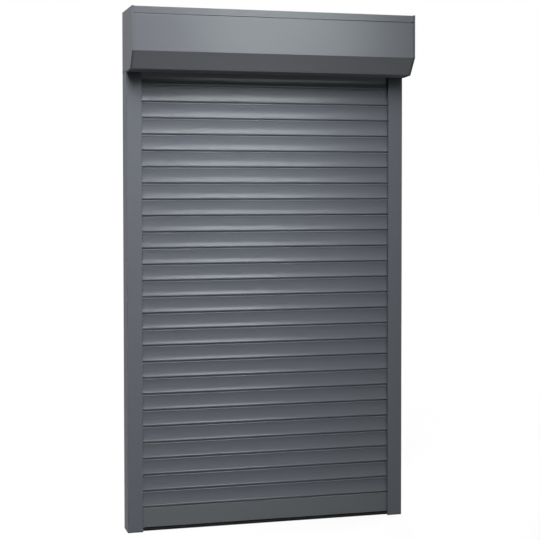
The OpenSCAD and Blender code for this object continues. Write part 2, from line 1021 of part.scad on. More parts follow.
left_guide_rail();
right_guide_rail();
rail_gaskets();
rail_inlets();
rail_feet();
left_end_cap();
right_end_cap();
back_panel();
top_panel();
panel_screws();
front_cover();
cable_grommet();
motor_bracket();
bearing_bracket();
bracket_screws();
ball_bearing();
motor_head();
tubular_motor();
motor_spindle();
motor_crown();
drive_adaptor();
winding_shaft();
shaft_capsule();
bearing_pin();
hanger_clips();
hanger_straps();
for (i = [1 : slat_count]) slat(i);
end_slat();
end_slat_seal();
end_slat_plugs();
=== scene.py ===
"""Exterior roller shutter: head box, guide rails and slat curtain in satin anthracite coat."""
import bmesh
import bpy
import math
from mathutils import Matrix, Vector


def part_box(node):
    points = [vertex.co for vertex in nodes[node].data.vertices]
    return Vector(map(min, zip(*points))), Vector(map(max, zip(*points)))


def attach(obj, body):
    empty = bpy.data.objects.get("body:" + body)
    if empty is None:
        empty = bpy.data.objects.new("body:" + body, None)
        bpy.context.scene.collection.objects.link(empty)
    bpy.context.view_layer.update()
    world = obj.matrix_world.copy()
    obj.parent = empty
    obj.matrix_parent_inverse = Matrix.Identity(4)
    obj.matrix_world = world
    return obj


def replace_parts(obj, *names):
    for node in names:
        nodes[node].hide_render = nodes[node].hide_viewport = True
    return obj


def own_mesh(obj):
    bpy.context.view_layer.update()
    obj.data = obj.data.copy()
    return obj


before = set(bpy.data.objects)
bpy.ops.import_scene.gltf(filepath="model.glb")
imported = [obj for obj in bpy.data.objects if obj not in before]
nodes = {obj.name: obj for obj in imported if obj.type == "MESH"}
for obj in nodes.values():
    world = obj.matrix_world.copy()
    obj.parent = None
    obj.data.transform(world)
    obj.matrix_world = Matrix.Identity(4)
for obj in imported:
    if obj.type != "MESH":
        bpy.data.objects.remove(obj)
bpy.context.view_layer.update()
bpy.context.scene.view_settings.view_transform = "Standard"


# Guide rails
# Two extruded aluminium channels that hold the ends of the slats. They are screwed to the reveal
# through their rear chamber, and they carry a satin powder coat with a fine orange peel.

coat_colour = (0.069, 0.073, 0.085)
coat_cloud = (0.072, 0.0765, 0.089)
cloud_scale = 7.0
cloud_detail = 3.0
speckle_detail = 2.0
speckle_swing = 0.05
skin_depth = 0.0002
seam_gap = 0.000005
flat_within = math.radians(0.4)
sharp_from = math.radians(28)
face_weight = 100
rail_edge = 0.0006


def new_finish(name):
    """A fresh material, with its node tree, its shader and the piece's own coordinates."""
    material = bpy.data.materials.new(name)
    material.use_nodes = True
    tree = material.node_tree
    place = tree.nodes.new("ShaderNodeTexCoord").outputs["Object"]
    return material, tree, tree.nodes["Principled BSDF"], place


def speckles(tree, place, scale, detail):
    """An uneven pattern from 0 to 1, as fine as its scale."""
    pattern = tree.nodes.new("ShaderNodeTexNoise")
    pattern.inputs["Scale"].default_value = scale
    pattern.inputs["Detail"].default_value = detail
    tree.links.new(place, pattern.inputs["Vector"])
    return pattern.outputs["Fac"]


def vary_gloss(tree, shader, pattern, roughness, swing):
    """Moves the roughness by a pattern, to both sides of its middle value."""
    gloss = tree.nodes.new("ShaderNodeMapRange")
    gloss.inputs["To Min"].default_value = roughness - swing
    gloss.inputs["To Max"].default_value = roughness + swing
    tree.links.new(pattern, gloss.inputs["Value"])
    tree.links.new(gloss.outputs["Result"], shader.inputs["Roughness"])


def raise_skin(tree, shader, pattern, strength):
    """Lifts the surface by a pattern, no more than a coat of paint is thick."""
    skin = tree.nodes.new("ShaderNodeBump")
    skin.inputs["Strength"].default_value = strength
    skin.inputs["Distance"].default_value = skin_depth
    tree.links.new(pattern, skin.inputs["Height"])
    tree.links.new(skin.outputs["Normal"], shader.inputs["Normal"])


def powder_coat(name, colour, cloud, gloss, roughness, grain, peel):
    """Satin paint: slow clouds of colour, a fine grain in the gloss and a shallow orange peel."""
    material, tree, shader, place = new_finish(name)
    shader.inputs["Specular IOR Level"].default_value = gloss
    tint = tree.nodes.new("ShaderNodeMix")
    tint.data_type = "RGBA"
    tint.inputs["A"].default_value = (*colour, 1)
    tint.inputs["B"].default_value = (*cloud, 1)
    clouds = speckles(tree, place, cloud_scale, cloud_detail)
    tree.links.new(clouds, tint.inputs["Factor"])
    tree.links.new(tint.outputs["Result"], shader.inputs["Base Color"])
    speckle = speckles(tree, place, grain, speckle_detail)
    vary_gloss(tree, shader, speckle, roughness, speckle_swing)
    raise_skin(tree, shader, speckle, peel)
    return material


def finish_node(name, material, edge, segments=2):
    """Gives a solid its finish, and eases its sharp edges by the width that the real piece has."""
    node = nodes[name]
    node.data.materials.clear()
    node.data.materials.append(material)
    weld = node.modifiers.new("join_faces", "WELD")
    weld.merge_threshold = seam_gap
    planes = node.modifiers.new("whole_planes", "DECIMATE")
    planes.decimate_type = "DISSOLVE"
    planes.angle_limit = flat_within
    bevel = node.modifiers.new("eased_edges", "BEVEL")
    bevel.width = edge
    bevel.segments = segments
    bevel.limit_method = "ANGLE"
    bevel.angle_limit = sharp_from
    node.data.shade_smooth()
    flats = node.modifiers.new("flat_faces", "WEIGHTED_NORMAL")
    flats.mode = "FACE_AREA"
    flats.weight = face_weight
    flats.keep_sharp = False


rail_coat = powder_coat(
    "rail_coat", coat_colour, coat_cloud, gloss=0.19, roughness=0.58, grain=1500, peel=0.06
)
for rail in ("left_guide_rail", "right_guide_rail"):
    finish_node(rail, rail_coat, rail_edge)


# Gaskets in the rails
# Soft black rubber fins that keep the slats quiet. They are pressed into grooves on both lips of
# each rail.

rubber_colour = (0.008, 0.008, 0.009)
skin_detail = 3.0
skin_swing = 0.08
skin_bump = 0.15
gasket_edge = 0.0002


def moulded_skin(name, colour, gloss, roughness, grain):
    """Matt rubber or moulded plastic with a fine uneven skin."""
    material, tree, shader, place = new_finish(name)
    shader.inputs["Base Color"].default_value = (*colour, 1)
    shader.inputs["Specular IOR Level"].default_value = gloss
    skin = speckles(tree, place, grain, skin_detail)
    vary_gloss(tree, shader, skin, roughness, skin_swing)
    raise_skin(tree, shader, skin, skin_bump)
    return material


rubber = moulded_skin("black_rubber", rubber_colour, gloss=0.08, roughness=0.8, grain=2400)
finish_node("rail_gaskets", rubber, gasket_edge)


# Inlets and feet of the rails
# Black moulded plastic: funnels on the rails' top ends that lead the slats in, and plugs in their
# lower ends that stand on the sill.

plastic_colour = (0.014, 0.014, 0.015)
plug_edge = 0.0004

plastic = moulded_skin("black_plastic", plastic_colour, gloss=0.12, roughness=0.6, grain=1800)
for plug in ("rail_inlets", "rail_feet"):
    finish_node(plug, plastic, plug_edge)


# End caps
# Cast aluminium plates at both ends of the head box. Their rims are rounded and stand a little
# proud of the panels, and the same anthracite coat covers them.

cap_edge = 0.0009
cap_segments = 3
box_middle = 1.176
box_half = 0.071
dull_start = 0.0012
dull_full = 0.0004
dull_roughness = 0.9


def dull_ends(material):
    """Dulls the top, where dust lies, and the underside, which the spray hardly met."""
    tree = material.node_tree
    shader = tree.nodes["Principled BSDF"]
    gloss = shader.inputs["Roughness"].links[0].from_socket
    place = tree.nodes.new("ShaderNodeTexCoord")
    split = tree.nodes.new("ShaderNodeSeparateXYZ")
    reach = tree.nodes.new("ShaderNodeMath")
    reach.operation = "SUBTRACT"
    reach.inputs[1].default_value = box_middle
    away = tree.nodes.new("ShaderNodeMath")
    away.operation = "ABSOLUTE"
    dull = tree.nodes.new("ShaderNodeMapRange")
    dull.inputs["From Min"].default_value = box_half - dull_start
    dull.inputs["From Max"].default_value = box_half - dull_full
    blend = tree.nodes.new("ShaderNodeMix")
    blend.inputs["B"].default_value = dull_roughness
    link = tree.links.new
    link(place.outputs["Object"], split.inputs["Vector"])
    link(split.outputs["Z"], reach.inputs[0])
    link(reach.outputs["Value"], away.inputs[0])
    link(away.outputs["Value"], dull.inputs["Value"])
    link(dull.outputs["Result"], blend.inputs["Factor"])
    link(gloss, blend.inputs["A"])
    link(blend.outputs["Result"], shader.inputs["Roughness"])


cap_coat = powder_coat(
    "cap_coat", coat_colour, coat_cloud, gloss=0.19, roughness=0.58, grain=1300, peel=0.14
)
dull_ends(cap_coat)
for cap in ("left_end_cap", "right_end_cap"):
    finish_node(cap, cap_coat, cap_edge, segments=cap_segments)


# Panels of the head box
# Roll-formed aluminium sheet: a back, a top with a front flange, and a hinged cover over the slope.
# The coat lies smoother on the sheet than on the castings, so it shines more.

panel_edge = 0.0005

box_coat = powder_coat(
    "box_coat", coat_colour, coat_cloud, gloss=0.49, roughness=0.20, grain=1500, peel=0.03
)
dull_ends(box_coat)
for panel in ("back_panel", "top_panel", "front_cover"):
    finish_node(panel, box_coat, panel_edge)


# Panel screws
# Countersunk screws that hold the back and the top to the ledges of the end caps. Each one stopped
# at its own turn, so their cross recesses stand at different angles.

panel_head = 0.0032
panel_shank = 0.0016
panel_length = 0.006
panel_tip = 0.85
panel_rows = 0.04867
panel_seed = 3
sheet = 0.0012
rim_ease = 0.00015
tip_taper = 0.6
recess_taper = 0.6
screw_sides = 40
metal_crease = math.radians(35)
steel_colour = (0.62, 0.62, 0.63)
mark_stretch = (1, 0.1, 0.1)
mark_detail = 4.0
mark_swing = 0.1


def built_mesh(bm, name, crease):
    """Ends a build: faces outwards, smooth between the creases."""
    bmesh.ops.recalc_face_normals(bm, faces=bm.faces)
    mesh = bpy.data.meshes.new(name)
    bm.to_mesh(mesh)
    bm.free()
    mesh.shade_smooth()
    mesh.set_sharp_from_angle(angle=crease)
    return mesh


def recessed_screw(name, profile, arm, slot, depth):
    """A screw with its head's face up at the origin: rings down a profile, and a cross recess."""
    bm = bmesh.new()
    rings = []
    for radius, height in profile:
        ring = []
        for k in range(screw_sides):
            angle = math.tau * k / screw_sides
            ring.append(bm.verts.new((radius * math.cos(angle), radius * math.sin(angle), height)))
        rings.append(ring)
    for upper, lower in zip(rings, rings[1:]):
        for k in range(screw_sides):
            n = (k + 1) % screw_sides
            bm.faces.new((upper[k], lower[k], lower[n], upper[n]))
    bm.faces.new(rings[-1])
    mouth, bottom = [], []
    for quarter in range(4):
        turn = Matrix.Rotation(math.radians(90 * quarter), 3, "Z")
        for x, y in ((arm, -slot / 2), (arm, slot / 2), (slot / 2, slot / 2)):
            mouth.append(bm.verts.new(turn @ Vector((x, y, 0))))
            bottom.append(bm.verts.new(turn @ Vector((x * recess_taper, y * recess_taper, -depth))))
    for k in range(len(mouth)):
        n = (k + 1) % len(mouth)
        bm.faces.new((mouth[k], mouth[n], bottom[n], bottom[k]))
    bm.faces.new(bottom)
    border = []
    for loop in (rings[0], mouth):
        for k in range(len(loop)):
            border.append(bm.edges.get((loop[k], loop[(k + 1) % len(loop)])))
    bmesh.ops.triangle_fill(bm, use_beauty=True, edges=border)
    return bpy.data.objects.new(name, built_mesh(bm, name, metal_crease))


def open_tree(name, sizes):
    """Begins a node tree: its named inputs, and one output for the shape."""
    tree = bpy.data.node_groups.new(name, "GeometryNodeTree")
    for label, kind in sizes:
        tree.interface.new_socket(label, in_out="INPUT", socket_type=kind)
    tree.interface.new_socket("Geometry", in_out="OUTPUT", socket_type="NodeSocketGeometry")
    return tree, tree.nodes.new("NodeGroupInput").outputs


def close_tree(tree, shape, finish):
    """Ends a node tree: makes its copies plain, and gives them their finish."""
    plain = tree.nodes.new("GeometryNodeRealizeInstances")
    coat = tree.nodes.new("GeometryNodeSetMaterial")
    result = tree.nodes.new("NodeGroupOutput")
    tree.links.new(shape, plain.inputs["Geometry"])
    tree.links.new(plain.outputs["Geometry"], coat.inputs["Geometry"])
    tree.links.new(finish, coat.inputs["Material"])
    tree.links.new(coat.outputs["Geometry"], result.inputs["Geometry"])


def seating_tree():
    """Sets a copy of a part on each point, along the point's axis and at a turn of its own."""
    tree, given = open_tree("seated_copies", (
        ("Geometry", "NodeSocketGeometry"),
        ("Part", "NodeSocketObject"),
        ("Finish", "NodeSocketMaterial"),
        ("Seed", "NodeSocketInt"),
    ))
    part = tree.nodes.new("GeometryNodeObjectInfo")
    axis = tree.nodes.new("GeometryNodeInputNamedAttribute")
    axis.data_type = "FLOAT_VECTOR"
    axis.inputs["Name"].default_value = "axis"
    aim = tree.nodes.new("FunctionNodeAlignRotationToVector")
    aim.axis = "Z"
    copies = tree.nodes.new("GeometryNodeInstanceOnPoints")
    chance = tree.nodes.new("FunctionNodeRandomValue")
    chance.data_type = "FLOAT_VECTOR"
    chance.inputs["Min"].default_value = (0, 0, 0)
    chance.inputs["Max"].default_value = (0, 0, math.tau)
    stopped = tree.nodes.new("GeometryNodeRotateInstances")
    link = tree.links.new
    link(given["Part"], part.inputs["Object"])
    link(given["Geometry"], copies.inputs["Points"])
    link(part.outputs["Geometry"], copies.inputs["Instance"])
    link(axis.outputs["Attribute"], aim.inputs["Vector"])
    link(aim.outputs["Rotation"], copies.inputs["Rotation"])
    link(given["Seed"], chance.inputs["Seed"])
    link(copies.outputs["Instances"], stopped.inputs["Instances"])
    link(chance.outputs["Value"], stopped.inputs["Rotation"])
    close_tree(tree, stopped.outputs["Instances"], given["Finish"])
    return tree


def in_scene(name, data):
    """An object of the scene, at the origin."""
    thing = bpy.data.objects.new(name, data)
    bpy.context.scene.collection.objects.link(thing)
    return thing


def run_tree(name, tree, start, values):
    """Runs a tree on a start mesh with its named values, and keeps the result as a plain mesh."""
    piece = in_scene(name, start)
    maker = piece.modifiers.new("maker", "NODES")
    maker.node_group = tree
    for socket in tree.interface.items_tree:
        if socket.in_out == "INPUT" and socket.name in values:
            maker[socket.identifier] = values[socket.name]
    depsgraph = bpy.context.evaluated_depsgraph_get()
    made = bpy.data.meshes.new_from_object(piece.evaluated_get(depsgraph))
    piece.modifiers.remove(maker)
    for k in reversed(range(len(made.materials))):
        if made.materials[k] is None:
            made.materials.pop(index=k)
    piece.data = made
    return piece


def seated(name, tree, part, seats, finish, seed):
    """Copies of a part on seats, each seat a place and the direction that the part faces."""
    points = bpy.data.meshes.new(name + "_seats")
    points.from_pydata([place for place, axis in seats], [], [])
    axes = points.attributes.new("axis", "FLOAT_VECTOR", "POINT")
    for k, (place, axis) in enumerate(seats):
        axes.data[k].vector = axis
    piece = run_tree(name, tree, points, {"Part": part, "Finish": finish, "Seed": seed})
    bpy.data.objects.remove(part)
    return piece


def machined(name, colour, roughness, grain):
    """Bright turned or plated steel: fine tool marks in the gloss."""
    material, tree, shader, place = new_finish(name)
    shader.inputs["Base Color"].default_value = (*colour, 1)
    shader.inputs["Metallic"].default_value = 1.0
    stretch = tree.nodes.new("ShaderNodeMapping")
    stretch.inputs["Scale"].default_value = mark_stretch
    tree.links.new(place, stretch.inputs["Vector"])
    marks = speckles(tree, stretch.outputs["Vector"], grain, mark_detail)
    vary_gloss(tree, shader, marks, roughness, mark_swing)
    return material


bright = machined("bright_steel", steel_colour, roughness=0.28, grain=2600)
seats_tree = seating_tree()
screws_low, screws_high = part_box("panel_screws")
panel_seats = []
for side in (-1, 1):
    x = side * (screws_high.x - panel_head)
    for y in (-1, 1):
        panel_seats.append(((x, y * (screws_low.y + panel_head), screws_high.z), (0, 0, 1)))
    for row in range(2):
        z = screws_low.z + panel_head + row * panel_rows
        panel_seats.append(((x, screws_high.y, z), (0, 1, 0)))
countersunk = recessed_screw("countersunk", [
    (panel_head - rim_ease, 0),
    (panel_head, -rim_ease),
    (panel_shank, -sheet),
    (panel_shank, -panel_length * panel_tip),
    (panel_shank * tip_taper, -panel_length),
], arm=0.0018, slot=0.0008, depth=0.0014)
panel_screws = seated(
    "panel_screws_cross", seats_tree, countersunk, panel_seats, bright, panel_seed
)
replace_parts(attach(panel_screws, "casing"), "panel_screws")


# Cable grommet
# A ring of the same black rubber, snapped into a hole in the back panel. The motor's cable leaves
# the box there.

grommet_edge = 0.0004

finish_node("cable_grommet", rubber, grommet_edge)


# Brackets
# Galvanised steel plates, screwed to the end caps, that carry the motor and the bearing. Zinc
# crystals show on them as patches of uneven gloss.

bracket_edge = 0.0003
zinc_colour = (0.50, 0.51, 0.52)
zinc_dark = 0.82
zinc_light = 1.12
zinc_swing = 0.1
scratch_scale = 900
scratch_detail = 4.0
scratch_bump = 0.08


def galvanised(name, colour, crystal, roughness):
    """Hot-dip zinc: crystals that differ a little in shade and gloss, with fine scratches."""
    material, tree, shader, place = new_finish(name)
    shader.inputs["Metallic"].default_value = 1.0
    crystals = tree.nodes.new("ShaderNodeTexVoronoi")
    crystals.inputs["Scale"].default_value = 1 / crystal
    shade = tree.nodes.new("ShaderNodeMapRange")
    shade.inputs["To Min"].default_value = zinc_dark
    shade.inputs["To Max"].default_value = zinc_light
    tint = tree.nodes.new("ShaderNodeMix")
    tint.data_type = "RGBA"
    tint.blend_type = "MULTIPLY"
    tint.inputs["Factor"].default_value = 1.0
    tint.inputs["A"].default_value = (*colour, 1)
    tree.links.new(place, crystals.inputs["Vector"])
    tree.links.new(crystals.outputs["Color"], shade.inputs["Value"])
    tree.links.new(shade.outputs["Result"], tint.inputs["B"])
    tree.links.new(tint.outputs["Result"], shader.inputs["Base Color"])
    vary_gloss(tree, shader, crystals.outputs["Color"], roughness, zinc_swing)
    scratches = speckles(tree, place, scratch_scale, scratch_detail)
    raise_skin(tree, shader, scratches, scratch_bump)
    return material


zinc = galvanised("zinc_steel", zinc_colour, crystal=0.007, roughness=0.42)
for bracket in ("motor_bracket", "bearing_bracket"):
    finish_node(bracket, zinc, bracket_edge)


# Bracket screws
# Bright steel pan-head screws through the corners of each bracket into the end cap. Their cross
# recesses stand at different angles too.

pan_head = 0.0035
pan_height = 0.0024
pan_shank = 0.0019
pan_length = 0.0079
pan_tip = 0.9
pan_seed = 8
pan_crown = ((0.72, 0), (0.87, 0.12), (0.96, 0.34), (1, 0.62), (1, 1))

screws_low, screws_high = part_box("bracket_screws")
bracket_seats = []
for side in (-1, 1):
    x = side * (screws_high.x - pan_length)
    for y in (screws_low.y + pan_head, screws_high.y - pan_head):
        for z in (screws_low.z + pan_head, screws_high.z - pan_head):
            bracket_seats.append(((x, y, z), (-side, 0, 0)))
pan = recessed_screw("pan", [(pan_head * out, -pan_height * down) for out, down in pan_crown] + [
    (pan_shank, -pan_height),
    (pan_shank, -pan_length * pan_tip),
    (pan_shank * tip_taper, -pan_length),
], arm=0.0019, slot=0.0009, depth=0.0016)
bracket_screws = seated("bracket_screws_cross", seats_tree, pan, bracket_seats, bright, pan_seed)
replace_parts(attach(bracket_screws, "casing"), "bracket_screws")


# Ball bearing
# Bright steel: two races with a groove between them, a ring of balls in the groove, and a cage
# beside the balls. It sits in a ring on the bearing bracket.

bearing_low, bearing_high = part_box("ball_bearing")
bearing_axis = (bearing_low + bearing_high) / 2
bearing_half = (bearing_high.x - bearing_low.x) / 2
bearing_radius = (bearing_high.z - bearing_low.z) / 2
bearing_bore = 0.00605
race_wall = 0.0026
groove_steps = 8
ball_radius = 0.0021
ball_count = 9
ball_pitch = (bearing_radius + bearing_bore) / 2
ball_segments = 20
ball_rings = 12
cage_half = 0.0006
ring_sides = 72


def turned_ring(bm, outline):
    """Turns a closed outline of (along the axis, radius) points round the X axis."""
    rings = []
    for k in range(ring_sides):
        turn = Matrix.Rotation(math.tau * k / ring_sides, 3, "X")
        rings.append([bm.verts.new(turn @ Vector((x, radius, 0))) for x, radius in outline])
    for k in range(ring_sides):
        here, there = rings[k], rings[(k + 1) % ring_sides]
        for i in range(len(outline)):
            n = (i + 1) % len(outline)
            bm.faces.new((here[i], here[n], there[n], there[i]))


def race(radius, wall):
    """A race from its plain face to its open face, with a round groove that the balls run in."""
    open_face = radius + wall
    outline = [
        (bearing_half, open_face),
        (bearing_half, radius),
        (-bearing_half, radius),
        (-bearing_half, open_face),
    ]
    reach = math.sqrt(ball_radius ** 2 - (ball_pitch - open_face) ** 2)
    lift = math.copysign(1, wall)
    for k in range(groove_steps + 1):
        x = -reach + 2 * reach * k / groove_steps
        outline.append((x, ball_pitch - lift * math.sqrt(ball_radius ** 2 - x ** 2)))
    return outline


def bearing_tree():
    """Adds a ring of balls to the races, and carries both to the bearing's place on the axis."""
    tree, given = open_tree("ball_ring", (
        ("Geometry", "NodeSocketGeometry"),
        ("Balls", "NodeSocketInt"),
        ("Pitch Radius", "NodeSocketFloat"),
        ("Ball Radius", "NodeSocketFloat"),
        ("Place", "NodeSocketVector"),
        ("Finish", "NodeSocketMaterial"),
    ))
    circle = tree.nodes.new("GeometryNodeMeshCircle")
    upright = tree.nodes.new("GeometryNodeTransform")
    upright.inputs["Rotation"].default_value = (0, math.radians(90), 0)
    ball = tree.nodes.new("GeometryNodeMeshUVSphere")
    ball.inputs["Segments"].default_value = ball_segments
    ball.inputs["Rings"].default_value = ball_rings
    round_ball = tree.nodes.new("GeometryNodeSetShadeSmooth")
    copies = tree.nodes.new("GeometryNodeInstanceOnPoints")
    both = tree.nodes.new("GeometryNodeJoinGeometry")
    seat = tree.nodes.new("GeometryNodeTransform")
    link = tree.links.new
    link(given["Balls"], circle.inputs["Vertices"])
    link(given["Pitch Radius"], circle.inputs["Radius"])
    link(circle.outputs["Mesh"], upright.inputs["Geometry"])
    link(given["Ball Radius"], ball.inputs["Radius"])
    link(ball.outputs["Mesh"], round_ball.inputs["Geometry"])
    link(upright.outputs["Geometry"], copies.inputs["Points"])
    link(round_ball.outputs["Geometry"], copies.inputs["Instance"])
    link(copies.outputs["Instances"], both.inputs["Geometry"])
    link(given["Geometry"], both.inputs["Geometry"])
    link(both.outputs["Geometry"], seat.inputs["Geometry"])
    link(given["Place"], seat.inputs["Translation"])
    close_tree(tree, seat.outputs["Geometry"], given["Finish"])
    return tree


bm = bmesh.new()
turned_ring(bm, race(bearing_radius, -race_wall))
turned_ring(bm, race(bearing_bore, race_wall))
for side in (-1, 1):
    x = side * ball_radius
    turned_ring(bm, [
        (x, ball_pitch - cage_half),
        (x, ball_pitch + cage_half),
        (x + side * cage_half, ball_pitch + cage_half),
        (x + side * cage_half, ball_pitch - cage_half),
    ])
races = built_mesh(bm, "races", metal_crease)
bearing = run_tree("bearing_races_and_balls", bearing_tree(), races, {
    "Balls": ball_count,
    "Pitch Radius": ball_pitch,
    "Ball Radius": ball_radius,
    "Place": bearing_axis,
    "Finish": bright,
})
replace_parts(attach(bearing, "casing"), "ball_bearing")


# Motor
# A white coated tube with a black moulded head, which stands still, and a bright steel spindle that
# turns the drive adaptor.

motor_colour = (0.62, 0.62, 0.60)
motor_cloud = (0.66, 0.66, 0.64)
motor_edge = 0.0005
spindle_edge = 0.0002

motor_coat = powder_coat(
    "motor_tube", motor_colour, motor_cloud, gloss=0.4, roughness=0.35, grain=1200, peel=0.05
)
finish_node("tubular_motor", motor_coat, motor_edge)
finish_node("motor_head", plastic, motor_edge)
finish_node("motor_spindle", bright, spindle_edge)


# Winding shaft and its fittings
# A roll-formed octagonal tube of galvanised steel on grey moulded wheels. A bright steel pin in its
# far end runs in the bearing.

shaft_edge = 0.0003
pin_edge = 0.0002
wheel_colour = (0.10, 0.10, 0.105)

finish_node("winding_shaft", zinc, shaft_edge)
wheel_plastic = moulded_skin("grey_plastic", wheel_colour, gloss=0.3, roughness=0.5, grain=1800)
for wheel in ("motor_crown", "drive_adaptor", "shaft_capsule"):
    finish_node(wheel, wheel_plastic, shaft_edge)
finish_node("bearing_pin", bright, pin_edge)


# Hanger straps
# Black spring bands with punched slots, from the clips on the shaft to a sleeve on the top slat's
# bead. When the shaft turns, a real band winds on to it; here the band rides with the top slat.

strap_colour = (0.05, 0.05, 0.052)
strap_width = 0.028
strap_thick = 0.0009
strap_edge = 0.0004
strap_crease = math.radians(40)
bend_below_top = 0.0123
bend_ease = 0.003
bend_steps = 8
slot_half = 0.004
slot_rows = 3
sleeve_out = 0.0027
sleeve_open = math.radians(35)
sleeve_steps = 24
clip_edge = 0.0003

straps_low, straps_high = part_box("hanger_straps")
bead_y = straps_high.y - sleeve_out
bead_z = straps_low.z + sleeve_out
sleeve_mid = sleeve_out - strap_thick / 2
band_y = straps_low.y + strap_thick / 2
band_top = straps_high.z
bend_z = band_top - bend_below_top


def add_band(bm, path, columns, open_cells):
    """A flat band along a path of (y, z) points, thin at its edges, without the open cells."""
    rows = []
    for i, (y, z) in enumerate(path):
        before = Vector(path[max(i - 1, 0)])
        after = Vector(path[min(i + 1, len(path) - 1)])
        along = (after - before).normalized()
        across = Vector((-along.y, along.x))
        row = []
        for j, x in enumerate(columns):
            edge = j in (0, len(columns) - 1)
            half = (strap_thick / 2 - strap_edge / 2) if edge else strap_thick / 2
            front = bm.verts.new((x, y + across.x * half, z + across.y * half))
            back = bm.verts.new((x, y - across.x * half, z - across.y * half))
            row.append((front, back))
        rows.append(row)
    solid = {
        (i, j)
        for i in range(len(rows) - 1)
        for j in range(len(columns) - 1)
        if (i, j) not in open_cells
    }
    for i, j in solid:
        a, b, c, d = rows[i][j], rows[i][j + 1], rows[i + 1][j + 1], rows[i + 1][j]
        bm.faces.new((a[0], b[0], c[0], d[0]))
        bm.faces.new((d[1], c[1], b[1], a[1]))
        for p, q, beside in (
            (a, b, (i - 1, j)),
            (b, c, (i, j + 1)),
            (c, d, (i + 1, j)),
            (d, a, (i, j - 1)),
        ):
            if beside not in solid:
                bm.faces.new((p[0], p[1], q[1], q[0]))


bend = Vector((band_y, bend_z))
band_end = Vector((bead_y, bead_z + sleeve_mid))
bend_start = Vector((band_y, bend_z + bend_ease))
bend_stop = bend + (band_end - bend).normalized() * bend_ease
band_path = [(band_y, band_top), tuple(bend_start)]
for k in range(1, bend_steps):
    t = k / bend_steps
    band_path.append(tuple((1 - t) ** 2 * bend_start + 2 * t * (1 - t) * bend + t ** 2 * bend_stop))
first_row = len(band_path)
slope_rows = 2 * slot_rows + 1
for k in range(slope_rows + 1):
    band_path.append(tuple(bend_stop.lerp(band_end, k / slope_rows)))
slot_cells = {(first_row + 2 * k + 1, 2) for k in range(slot_rows)}
sleeve_path = []
for k in range(sleeve_steps + 1):
    angle = -math.pi / 2 + sleeve_open + (math.tau - 2 * sleeve_open) * k / sleeve_steps
    y = bead_y + sleeve_mid * math.cos(angle)
    z = bead_z + sleeve_mid * math.sin(angle)
    sleeve_path.append((y, z))

bm = bmesh.new()
for side in (-1, 1):
    x = side * (straps_high.x - strap_width / 2)
    half = strap_width / 2
    columns = [
        x - half,
        x - half + strap_edge,
        x - slot_half,
        x + slot_half,
        x + half - strap_edge,
        x + half,
    ]
    add_band(bm, band_path, columns, slot_cells)
    add_band(bm, sleeve_path, columns, set())
strap_mesh = built_mesh(bm, "hanger_bands", strap_crease)
band = moulded_skin("strap_band", strap_colour, gloss=0.3, roughness=0.45, grain=1500)
strap_mesh.materials.append(band)
straps = in_scene("hanger_bands", strap_mesh)
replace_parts(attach(straps, "curtain_slat_01"), "hanger_straps")
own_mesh(straps)
finish_node("hanger_clips", band, clip_edge)


# Slat curtain
# Roll-formed aluminium slats with a foam core. Each slat hooks over the tongue of the one below.
# The strip was coated before it was rolled, so its paint is thin and smooth.

slat_edge = 0.0003

slat_coat = powder_coat(
    "slat_coat", coat_colour, coat_cloud, gloss=0.20, roughness=0.17, grain=1700, peel=0.03
)
for name in sorted(nodes):
    if name.startswith("slat_"):
        finish_node(name, slat_coat, slat_edge)


# End slat
# A flat extruded slat, coated like the rails in a slightly greener batch, with a rubber seal under
# it and plastic plugs in its ends.

end_colour = (0.0705, 0.0765, 0.0815)
end_cloud = (0.0735, 0.080, 0.0855)
end_edge = 0.0004
seal_edge = 0.0003

end_coat = powder_coat(
    "end_slat_coat", end_colour, end_cloud, gloss=0.22, roughness=0.58, grain=1500, peel=0.08
)
finish_node("end_slat", end_coat, end_edge)
finish_node("end_slat_seal", rubber, seal_edge)
finish_node("end_slat_plugs", plastic, seal_edge)


# Floor
# A wide pale floor that the rails stand on. It is a little darker round the shutter, where its
# shadow falls, and as white as the room further away.

floor_half = 30.0
floor_drop = 0.0002
floor_grey = (0.15, 0.15, 0.15)
floor_near = 0.9
floor_far = 3.2
glow_near = 0.82
glow_far = 1.0


def in_picture(tree):
    """1 for what the camera sees, also in a reflection or through glass, and 0 for the light."""
    path = tree.nodes.new("ShaderNodeLightPath")
    seen = path.outputs["Is Camera Ray"]
    for ray in ("Is Glossy Ray", "Is Transmission Ray"):
        either = tree.nodes.new("ShaderNodeMath")
        either.operation = "MAXIMUM"
        tree.links.new(seen, either.inputs[0])
        tree.links.new(path.outputs[ray], either.inputs[1])
        seen = either.outputs["Value"]
    return seen


floor_mesh = bpy.data.meshes.new("floor")
floor_mesh.from_pydata(
    [(x * floor_half, y * floor_half, 0) for x, y in ((-1, -1), (1, -1), (1, 1), (-1, 1))],
    [],
    [(0, 1, 2, 3)],
)
floor = in_scene("floor", floor_mesh)
floor.location.z = -floor_drop
floor_paint, tree, first_shader, place = new_finish("floor_paint")
tree.nodes.remove(first_shader)
pale = tree.nodes.new("ShaderNodeBsdfDiffuse")
pale.inputs["Color"].default_value = (*floor_grey, 1)
glow = tree.nodes.new("ShaderNodeEmission")
distance = tree.nodes.new("ShaderNodeVectorMath")
distance.operation = "LENGTH"
fade = tree.nodes.new("ShaderNodeMapRange")
fade.interpolation_type = "SMOOTHSTEP"
fade.inputs["From Min"].default_value = floor_near
fade.inputs["From Max"].default_value = floor_far
fade.inputs["To Min"].default_value = glow_near
fade.inputs["To Max"].default_value = glow_far
lit = tree.nodes.new("ShaderNodeMixShader")
both = tree.nodes.new("ShaderNodeAddShader")
tree.links.new(place, distance.inputs[0])
tree.links.new(distance.outputs["Value"], fade.inputs["Value"])
tree.links.new(fade.outputs["Result"], glow.inputs["Strength"])
tree.links.new(pale.outputs["BSDF"], both.inputs[0])
